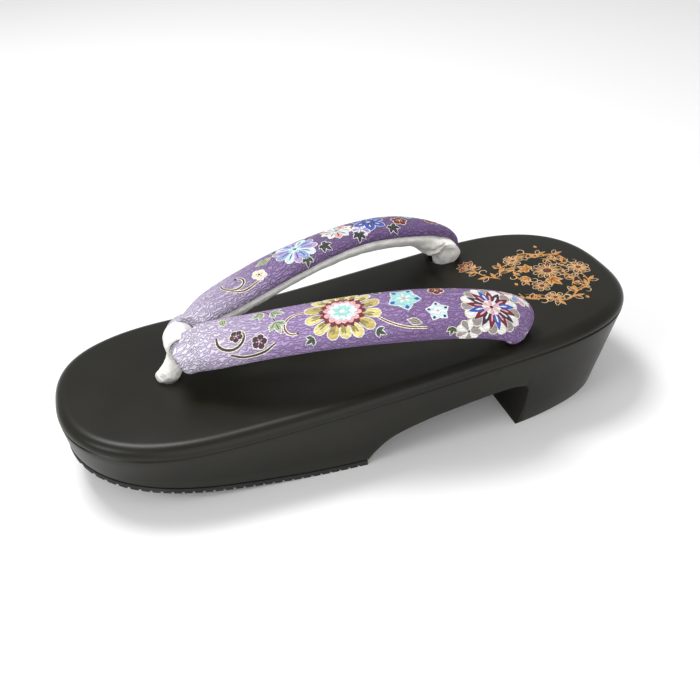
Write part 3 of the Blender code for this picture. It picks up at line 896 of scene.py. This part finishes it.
# Printed flowers, drawn flat in millimetres, x along and y across, each layer a little higher than the last.
# A text of ink names gives the fill and the edge, then a third ink for veins, stripes, tips or hearts
inks = {
    "cream": rgb(246, 240, 214), "butter": rgb(232, 218, 142), "straw": rgb(206, 186, 104), "wine": rgb(122, 28, 36),
    "plum": rgb(62, 36, 60), "navy": rgb(44, 46, 120), "blue": rgb(58, 92, 186), "sky": rgb(156, 176, 216),
    "aqua": rgb(172, 228, 222), "ice": rgb(222, 244, 244), "white": rgb(250, 249, 246), "pink": rgb(236, 184, 188),
    "leaf": rgb(168, 188, 148), "moss": rgb(74, 92, 66), "dark": rgb(44, 36, 46), "bark": rgb(104, 48, 38),
    "stone": rgb(160, 152, 148), "lilac": rgb(190, 166, 212), "gold": rgb(222, 156, 74), "foil": rgb(240, 206, 164),
    "olive": rgb(150, 138, 76), "rust": rgb(118, 46, 30),
}
petalForms = {
    # share of the petal's length, share of its width
    "round": ((0.0, 0.20), (0.25, 0.62), (0.55, 0.98), (0.80, 0.92), (0.94, 0.55), (1.0, 0.0)),
    "pointed": ((0.0, 0.12), (0.25, 0.70), (0.50, 1.0), (0.75, 0.66), (1.0, 0.0)),
    "broad": ((0.0, 0.30), (0.30, 0.85), (0.60, 1.0), (0.80, 0.72), (1.0, 0.0)),
    "slim": ((0.0, 0.25), (0.35, 0.75), (0.70, 1.0), (0.90, 0.70), (1.0, 0.0)),
}
leafLobes = {
    # the lobe's turn and its share of the leaf's length
    3: ((-46, 0.74), (46, 0.74), (0, 1.0)),
    5: ((-92, 0.52), (92, 0.52), (-46, 0.82), (46, 0.82), (0, 1.0)),
}
layerStep = 0.012
cellLength = 0.5
strokeEdge = 0.75


def newArt():
    bm = bmesh.new()
    return bm, bm.loops.layers.float_color.new("inkColour")


def inkStrip(art, columns, rows, where, ink, layer):
    # a grid of one ink; where(u, w) has u from 0 to 1 along it and w from -1 to 1 across
    bm, colours = art
    made = bmesh.ops.create_grid(bm, x_segments=columns, y_segments=rows, size=0.5)["verts"]
    for vert in made:
        x, y = where(vert.co.x + 0.5, vert.co.y * 2)
        vert.co = (x, y, layer * layerStep)
    for face in {face for vert in made for face in vert.link_faces}:
        for loop in face.loops:
            loop[colours] = inks[ink]


def petalPoint(x, y, turn, along, aside):
    c, s = math.cos(math.radians(turn)), math.sin(math.radians(turn))
    return x + along * c - aside * s, y + along * s + aside * c


def petal(art, x, y, turn, length, width, ink, layer, form="round", start=0, halo=0):
    near, far, half = start - halo, start + length + halo, width / 2 + halo

    def where(u, w):
        return petalPoint(x, y, turn, near + (far - near) * u, half * spline(petalForms[form], u)[0] * w)
    columns = max(int((far - near) / cellLength), 5)
    inkStrip(art, columns, max(int(width / cellLength), 2), where, ink, layer)


def edgedPetal(art, x, y, turn, length, width, inkNames, layer, form="round", start=0, halo=0.3, vein=None):
    ink, edge = inkNames.split()
    petal(art, x, y, turn, length, width, edge, layer, form, start, halo)
    petal(art, x, y, turn, length, width, ink, layer + 1, form, start)
    if vein:
        petal(art, x, y, turn, length * 0.62, width * 0.16, vein, layer + 2, "slim", start + length * 0.12)


def pathPoint(points, share):
    # place and direction on a smooth curve through the points
    rows = [(i, *point) for i, point in enumerate(points)]
    t = share * (len(points) - 1)
    here = Vector(spline(rows, t))
    ahead, behind = Vector(spline(rows, t + 0.02)), Vector(spline(rows, t - 0.02))
    return here, (ahead - behind).normalized()


def stroke(art, points, width, ink, layer, ends=(0.35, 0.6)):
    length = sum(math.dist(a, b) for a, b in zip(points, points[1:]))

    def where(u, w):
        here, along = pathPoint(points, u)
        half = width / 2 * (ends[0] + (1 - ends[0]) * smoothStep(0, 0.3, u))
        half *= 1 - (1 - ends[1]) * smoothStep(0.6, 1, u)
        return here.x - along.y * half * w, here.y + along.x * half * w
    inkStrip(art, max(int(length / 0.6), 4), 2, where, ink, layer)


def edgedStroke(art, points, width, inkNames, layer):
    ink, edge = inkNames.split()
    stroke(art, points, width + strokeEdge, edge, layer, (0.8, 0.8))
    stroke(art, points, width, ink, layer + 1, (0.8, 0.7))


def dot(art, x, y, radius, ink, layer):
    inkStrip(art, 8, 6, lambda u, w: (
        x + radius * (2 * u - 1) * math.sqrt(max(1 - w * w / 2, 0)),
        y + radius * w * math.sqrt(max(1 - (2 * u - 1) ** 2 / 2, 0)),
    ), ink, layer)


def ring(
    art, x, y, count, length, width, inkNames, edge, layer,
    form="round", start=0, turn=0, stretch=1, halo=0.3, vein=None,
):
    # petals round a centre, taking the inks in turn; stretch lengthens those that point along x
    fills = inkNames.split()
    rays = []
    for i in range(count):
        angle = turn + 360 * i / count
        rays.append((i, angle, 1 + (stretch - 1) * abs(math.cos(math.radians(angle)))))
    for i, angle, far in rays:
        petal(art, x, y, angle, length * far, width, edge, layer, form, start * far, halo)
    for i, angle, far in rays:
        petal(art, x, y, angle, length * far, width, fills[i % len(fills)], layer + 1 + i % 2 / 2, form, start * far)
        if vein:
            base = start * far + length * 0.15
            petal(art, x, y, angle, length * far * 0.6, width * 0.18, vein, layer + 2, "slim", base)


def leafSpray(art, x, y, turn, size, inkNames, layer, lobes=3):
    # a leaf of pointed lobes with a vein in each
    ink, edge, vein = inkNames.split()
    for spread, share in leafLobes[lobes]:
        petal(art, x, y, turn + spread, size * share, size * 0.36, edge, layer, "pointed", 0, 0.32)
    for spread, share in leafLobes[lobes]:
        petal(art, x, y, turn + spread, size * share, size * 0.36, ink, layer + 1, "pointed")
        petal(art, x, y, turn + spread, size * share * 0.72, size * 0.07, vein, layer + 2, "slim")


def stripedLeaf(art, x, y, turn, size, inkNames, layer):
    outer, stripe = inkNames.rsplit(" ", 1)
    edgedPetal(art, x, y, turn, size, size * 0.46, outer, layer, "pointed", 0, 0.35)
    for aside in (-0.11, 0, 0.11):
        base = petalPoint(x, y, turn, 0, aside * size)
        petal(art, *base, turn + aside * 60, size * 0.62, size * 0.055, stripe, layer + 2, "slim", size * 0.14)


def scroll(art, x, y, size, turn, turns, width, inkNames, hand):
    points = []
    steps = turns * 12
    for i in range(int(steps) + 1):
        angle = math.radians(turn + hand * 360 * turns * i / steps)
        radius = size * (1 - 0.72 * i / steps)
        points.append((x + radius * math.cos(angle), y + radius * math.sin(angle)))
    edgedStroke(art, points, width, inkNames, 0)
    dot(art, *points[-1], width * 0.85, inkNames.split()[0], 1)


def ringedFlower(art, x, y, size, layer, rows):
    for count, length, width, fills, edge, above, form, start, *rest in rows:
        ring(art, x, y, count, size * length, size * width, fills, edge, layer + above, form, size * start, *rest)


def chrysanthemum(art, x, y, size, layer):
    # the large flower: butter petals, a wine ring, then pink, white and aqua
    ringedFlower(art, x, y, size, layer, (
        # petals, length, width, inks, edge, layer, form, start, turn, stretch, halo, vein
        (14, 0.60, 0.36, "butter straw butter", "white", 0, "round", 0.46, 11, 1.25, 0.28, "olive"),
        (14, 0.34, 0.10, "olive", "olive", 2, "slim", 0.52, 17, 1.25, 0),
        (18, 0.30, 0.22, "wine", "wine", 3, "pointed", 0.36, 4, 1.25, 0.1),
        (14, 0.50, 0.24, "pink", "wine", 5, "round", 0.4 / size, 8, 1.25, 0.22),
        (12, 0.40, 0.20, "white ice", "pink", 7, "round", 0.3 / size, 0, 1.2, 0.15),
        (8, 0.26, 0.16, "aqua", "white", 9, "pointed", 0.6 / size, 22, 1.1, 0.15),
    ))
    dot(art, x, y, size * 0.08, "white", layer + 12)


def bellflower(art, x, y, size, turn, inkNames, layer):
    ink, edge, tip = inkNames.split()
    ring(art, x, y, 5, size, size * 0.78, ink, edge, layer, "pointed", 0, turn)
    for i in range(5):
        petal(art, x, y, turn + 72 * i, size * 0.32, size * 0.26, tip, layer + 2, "pointed", size * 0.60)
        petal(art, x, y, turn + 36 + 72 * i, size * 0.34, size * 0.14, edge, layer + 2, "slim", size * 0.1)
    dot(art, x, y, size * 0.13, "pink", layer + 3)


def plumBlossom(art, x, y, size, turn, inkNames, layer):
    ink, edge, heart = inkNames.split()
    ring(art, x, y, 5, size, size * 0.80, ink, edge, layer, "round", 0, turn, 1, 0.32)
    for i in range(5):
        petal(art, x, y, turn + 36 + 72 * i, size * 0.26, size * 0.12, heart, layer + 2, "slim", size * 0.2)
    dot(art, x, y, size * 0.15, heart, layer + 3)


def roundel(art, x, y, size, layer):
    # the rear flower: two rows of slim petals in wine, navy and white
    ringedFlower(art, x, y, size, layer, (
        (16, 0.50, 0.34, "stone white", "cream", 0, "round", 0.62),
        (16, 0.76, 0.25, "wine plum wine blue", "white", 3, "pointed", 0.20, 7, 1, 0.22),
        (16, 0.36, 0.07, "pink white", "plum", 5, "slim", 0.30, 7, 1, 0.05),
        (12, 0.34, 0.15, "white pink", "ice", 7, "round", 0.2 / size, 0, 1, 0.1),
    ))
    dot(art, x, y, size * 0.07, "plum", layer + 9)


def nearArt():
    art = newArt()
    # nose end: a dark scroll with a bellflower and a small leaf
    scroll(art, 28, 4, 7, 190, 0.74, 0.95, "dark cream", -1)
    edgedStroke(art, [(26, 11), (31, 13), (38, 12.6), (43, 10.2)], 0.8, "dark cream", 0)
    plumBlossom(art, 28.6, 4.2, 2.7, 20, "plum cream pink", 3)
    stripedLeaf(art, 23.4, -2.4, 250, 5.4, "leaf cream moss", 2)
    plumBlossom(art, 37.2, 8.4, 3, 0, "plum cream pink", 3)
    # three pale leaves on a dark branch
    edgedStroke(art, [(33.5, -9.8), (38, -7.2), (41.5, -3.2), (44, 2.5)], 0.6, "bark lilac", 0)
    for x, y, turn, size in ((38.2, -5.6, 150, 5.4), (41.4, -5, 20, 5.6), (43.4, 1, 70, 6.2)):
        leafSpray(art, x, y, turn, size, "leaf white moss", 2)
    # the large flower with dark leaves and tendrils
    scroll(art, 51.5, 5.5, 7.4, 300, 0.62, 0.55, "bark cream", -1)
    for x, y, turn in ((56.2, -8.6, 215), (57, 10.6, 150), (80, -8.8, 330), (79.4, 9.8, 30)):
        leafSpray(art, x, y, turn, 3.8, "moss white dark", 1)
    chrysanthemum(art, 68, 0.5, 10.6, 4)
    edgedStroke(art, [(79, 3.6), (84, 7.2), (90, 9.6), (97, 10.4)], 0.45, "bark cream", 1)
    # an aqua bellflower and a blue one
    bellflower(art, 90.5, -3.2, 6.2, 10, "aqua white blue", 2)
    bellflower(art, 101.5, 4.2, 4.2, 50, "ice white navy", 2)
    stripedLeaf(art, 95.2, 8.6, 200, 5, "stone cream moss", 2)
    plumBlossom(art, 103, -7.2, 3, 18, "wine cream butter", 2)
    # rear end: a roundel with a pair of half flowers
    roundel(art, 121, 2.5, 9.6, 3)
    ring(art, 112, 12.8, 9, 3.8, 2.2, "stone white", "cream", 0, "round", 0.8)
    ring(art, 132.5, -8, 10, 4.4, 2.2, "sky white pink", "cream", 0, "round", 0.8)
    for x, y, turn in ((106, 11, 100), (110.6, -9.4, 260), (136.5, 6, 40)):
        leafSpray(art, x, y, turn, 3.4, "moss cream dark", 0)
    return art


def farArt():
    art = newArt()
    # pale end: a scroll that turns the other way, with a blossom and a striped leaf
    scroll(art, 34, -3, 6.2, 150, 0.78, 0.7, "dark cream", 1)
    plumBlossom(art, 43.4, -6.4, 3, 30, "cream white wine", 2)
    stripedLeaf(art, 45.6, -0.6, 10, 8, "leaf cream moss", 2)
    edgedStroke(art, [(28, -6), (34, -9.6), (42, -9)], 0.6, "bark cream", 0)
    # pale blue and aqua flowers over dark leaves
    for x, y, turn in ((58, 3.4, 140), (64.5, -10, 250), (69, 5, 60)):
        leafSpray(art, x, y, turn, 4.6, "moss white dark", 1)
    ring(art, 63.2, -2.6, 12, 6.4, 3.4, "sky ice lilac", "white", 2, "round", 1.4, 10, 1.25, 0.3, "blue")
    ring(art, 63.2, -2.6, 8, 2.6, 1.4, "aqua ice", "white", 5, "pointed", 0.3, 0, 1.1, 0.15)
    dot(art, 63.2, -2.6, 0.7, "navy", 8)
    edgedStroke(art, [(70, -1), (75, 2.6), (80, 3.6)], 0.5, "bark lilac", 0)
    ring(art, 84, -2, 10, 5.4, 3.4, "white pink ice", "cream", 2, "broad", 1.2, 0, 1.1, 0.3, "wine")
    ring(art, 84, -2, 6, 2, 1.2, "aqua", "white", 5, "pointed", 0.2, 0, 1, 0.12)
    dot(art, 84, -2, 0.6, "wine", 8)
    for x, y, turn in ((80.6, 4.8, 110), (87.4, 5.6, 80)):
        leafSpray(art, x, y, turn, 4.4, "moss cream dark", 1)
    # dark leaves and half flowers that fill the middle of the arm
    for x, y, turn in ((73.6, -8, 300), (76.4, 7.6, 80), (90.8, -9.4, 250), (106.8, -9, 290)):
        leafSpray(art, x, y, turn, 4.8, "dark white moss", 1, 5)
    for x, y, inkNames in ((71.4, 8.6, "aqua ice"), (92.8, -7.6, "lilac white"), (107.6, 8.4, "stone cream")):
        ring(art, x, y, 9, 3.4, 2, inkNames, "white", 0, "round", 0.6, 0, 1, 0.3, "blue")
    # a blue flower with yellow hearts, then wine blossoms down to the bed
    for turn in range(0, 360, 60):
        edgedPetal(art, 99, -2.6, turn + 12, 7, 4.2, "blue white", 2, "broad", 0.6, 0.3)
        petal(art, 99, -2.6, turn + 12, 3.6, 1.5, "navy", 4, "pointed", 1.2)
        petal(art, 99, -2.6, turn + 12, 2.4, 0.8, "cream", 5, "pointed", 3)
    dot(art, 99, -2.6, 0.9, "butter", 6)
    leafSpray(art, 92.4, 6.6, 100, 4.6, "dark white moss", 1)
    leafSpray(art, 106.4, 2.4, 30, 5.2, "leaf white moss", 1)
    plumBlossom(art, 112.4, -5.4, 3.6, 0, "wine cream butter", 2)
    bellflower(art, 119.5, 0.6, 4.2, 36, "aqua white navy", 2)
    plumBlossom(art, 129, -4, 4.2, 10, "wine cream pink", 2)
    return art


def printOnArm(name, side, art):
    # lays the flat drawing on an arm's cover, cut off at the cover's edges
    bm = art[0]
    uvLayer = bm.loops.layers.uv.new("strapUv")
    flat = {}
    for vert in bm.verts:
        distance = min(max(vert.co.x / 1000, 0.008), armLength * 0.985)
        low, high = coverEdges(distance)
        arc = min(max(vert.co.y / 1000, arcOf(distance, high - 1)), arcOf(distance, low + 1))
        angle = angleOf(distance, arc)
        flat[vert] = distance, arc
        vert.co = sectionPoint(distance, angle, 0.00005 + vert.co.z / 1000 + coverLift(distance, angle))
    setUv(bm, uvLayer, lambda vert: armUv(*flat[vert], side))
    leanArm(bm, side)
    if side < 0:
        mirrorAcross(bm)
    bmesh.ops.dissolve_degenerate(bm, dist=2e-6, edges=bm.edges)
    for face in bm.faces:
        if facingAway(face, side) < 0:
            face.normal_flip()
    return finishPiece(name, bm, printInk, sharp=180)


nearPrint = printOnArm("nearPrint", 1, nearArt())
farPrint = printOnArm("farPrint", -1, farArt())
print("strap print done", len(nearPrint.data.polygons), len(farPrint.data.polygons))


# Gold line print on the heel end of the foot bed
def outlinePetal(art, x, y, turn, length, width, line, layer, form, start):
    edge = []
    for k in range(15):
        u, side = (k / 7, 1) if k < 8 else ((14 - k) / 7, -1)
        aside = side * width / 2 * spline(petalForms[form], u)[0]
        edge.append(petalPoint(x, y, turn, start + length * u, aside))
    stroke(art, edge, line, "foil", layer, (1, 1))


def outlineFlower(art, x, y, count, length, width, line, start, turn=0, form="round"):
    for i in range(count):
        angle = turn + 360 * i / count
        petal(art, x, y, angle, length * 0.7, width * 0.36, "gold", 1 + i % 2, form, start)
        outlinePetal(art, x, y, angle, length, width, line, 3 + i % 2, form, start)
    dot(art, x, y, start * 0.75, "rust", 5)


def goldVine(art, points, width, leaves, size=1):
    # a stem with a leaf, an open leaf and a curl in turn, on either side by turns
    stroke(art, points, width, "gold", 0, (0.5, 0.5))
    for k in range(leaves):
        (x, y), along = pathPoint(points, (k + 0.6) / leaves)
        heading = math.degrees(math.atan2(along.y, along.x))
        side = 1 if k % 2 else -1
        if k % 3 == 2:
            middle = petalPoint(x, y, heading + side * 65, 2.4 * size, 0)
            curl = []
            for j in range(9):
                curl.append(petalPoint(*middle, heading + side * (30 + 38 * j), -2.5 * size * (1 - 0.07 * j), 0))
            stroke(art, curl, 0.42, "foil", 0, (0.8, 0.5))
        else:
            leaf = (art, x, y, heading + side * 42, 5 * size, 1.25 * size, "gold foil", 1)
            edgedPetal(*leaf, "pointed", 0, 0.16)
            outlinePetal(art, x, y, heading + side * 86, 4.2 * size, 2 * size, 0.30, 1, "pointed", 0.3)
            petal(art, x, y, heading + side * 86, 2.6 * size, 0.6 * size, "rust", 2, "slim", 0.6)


def goldArt():
    art = newArt()
    radius = 17.5
    # an open wreath of vine, its two ends on the toe side
    for hand in (1, -1):
        for inner, width, leaves, size in ((0, 0.85, 13, 1), (2.1, 0.4, 7, 0.7)):
            points = []
            for i in range(15):
                angle = math.radians(-90 + hand * (24 + inner * 4 + 150 * i / 14))
                wave = radius - inner + 1.1 * math.sin(i * 1.3 + inner)
                points.append((wave * math.cos(angle) * 1.12, wave * math.sin(angle)))
            goldVine(art, points, width, leaves, size)
    # three flowers on it and two inside, with leaves and curls
    outlineFlower(art, 0, radius * 0.98, 8, 3.8, 2.2, 0.36, 1.2)
    outlineFlower(art, -radius * 0.98, -6, 6, 3.4, 2.2, 0.36, 1, 20)
    outlineFlower(art, radius * 0.98, -4, 6, 3.2, 2.1, 0.36, 1, 50)
    outlineFlower(art, -3, 3.5, 12, 5, 2.1, 0.32, 1.8)
    outlineFlower(art, 7, -4.6, 7, 3.4, 2.1, 0.34, 1, 15)
    for x, y, turn, size, lobes in ((4, 1.5, 20, 6, 5), (-7.5, -3.5, 215, 5.4, 5), (-1, -6.4, 280, 4.4, 3)):
        leafSpray(art, x, y, turn, size, "gold foil rust", 2, lobes)
    goldVine(art, [(-12, -8), (-7, -10.5), (-1, -10), (3, -6)], 0.6, 6, 0.8)
    goldVine(art, [(12, 7), (6, 11), (1, 9)], 0.6, 5, 0.8)
    goldVine(art, [(-13.5, 6), (-10, 10.5), (-5, 10.5)], 0.5, 4, 0.8)
    # a side spray towards the toe and a few small diamonds
    goldVine(art, [(-6, -17.5), (-11, -22), (-17, -24.5), (-21, -25)], 0.7, 6)
    for spread in (-70, -35, 0, 35, 70):
        edgedPetal(art, -21.5, -25.5, 215 + spread, 4.8, 2.3, "rust foil", 1, "pointed", 0.6, 0.3, "gold")
    outlineFlower(art, -21.5, -25.5, 6, 2.4, 1.5, 0.3, 0.9, 10, "pointed")
    for x, y in ((1, -13.5), (12.5, -14), (-15.5, -15.5), (-24, 9), (22.5, 8)):
        petal(art, x - 1.2, y, 0, 2.4, 1.6, "gold", 0, "pointed")
    return art


def printOnBed(name, art, centre):
    bm = art[0]
    for vert in bm.verts:
        x, y = (vert.co.x + centre[0]) / 1000, (vert.co.y + centre[1]) / 1000
        vert.co = (x, y, bedHeight(y) + 0.00003 + vert.co.z / 1000)
    bmesh.ops.dissolve_degenerate(bm, dist=2e-6, edges=bm.edges)
    for face in bm.faces:
        if face.normal.z < 0:
            face.normal_flip()
    return finishPiece(name, bm, goldFoil, sharp=180)


goldPrint = printOnBed("goldPrint", goldArt(), (2, 89))
print("gold print done", len(goldPrint.data.polygons))


# Floor, lights and camera
studio = {
    "floor": rgb(250, 250, 250), "world": 0.52,
    "lights": (
        # name, place, aimed at, size, power
        ("key", (-0.34, -0.22, 1.00), (0, 0, 0.02), 0.34, 6.6),
        ("toeSide", (0.30, -0.80, 0.60), (0, 0, 0.02), 0.36, 2.6),
        ("nearSide", (0.80, -0.05, 0.40), (0, 0, 0.03), 0.80, 2.6),
    ),
    "place": (0.27265, -0.08088, 0.22669), "azimuth": 73.477, "elevation": 35.343, "roll": -2.972, "lens": 42.16,
}


def makeStudio():
    bm = bmesh.new()
    bmesh.ops.create_grid(bm, x_segments=1, y_segments=1, size=3.0)
    mesh = newMesh("floor", bm)
    mesh.materials.append(newMaterial("palePaper", studio["floor"], 0.9)[0])
    floor = linkObject("floor", mesh)
    world = bpy.data.worlds.new("studio")
    world.use_nodes = True
    background = world.node_tree.nodes["Background"].inputs
    background["Color"].default_value = (1, 1, 1, 1)
    background["Strength"].default_value = studio["world"]
    bpy.context.scene.world = world
    for name, spot, aim, size, power in studio["lights"]:
        data = bpy.data.lights.new(name, "AREA")
        data.size = size
        data.energy = power
        light = linkObject(name, data)
        light.location = spot
        light.rotation_euler = (Vector(aim) - Vector(spot)).to_track_quat("-Z", "Y").to_euler()


def makeCamera():
    azimuth, elevation, roll = (math.radians(studio[key]) for key in ("azimuth", "elevation", "roll"))
    back = Vector((
        math.sin(azimuth) * math.cos(elevation), -math.cos(azimuth) * math.cos(elevation), math.sin(elevation),
    ))
    right = (-back).cross(Vector((0, 0, 1))).normalized()
    up = right.cross(-back)
    turnedRight = right * math.cos(roll) + up * math.sin(roll)
    turnedUp = up * math.cos(roll) - right * math.sin(roll)
    data = bpy.data.cameras.new("camera")
    data.lens = studio["lens"]
    data.sensor_width = 36
    data.clip_start = 0.01
    camera = linkObject("camera", data)
    turned = Matrix((turnedRight, turnedUp, back)).transposed().to_4x4()
    camera.matrix_world = Matrix.Translation(studio["place"]) @ turned
    bpy.context.scene.camera = camera
    bpy.context.scene.view_settings.view_transform = "Standard"


makeStudio()
makeCamera()
print("studio done")
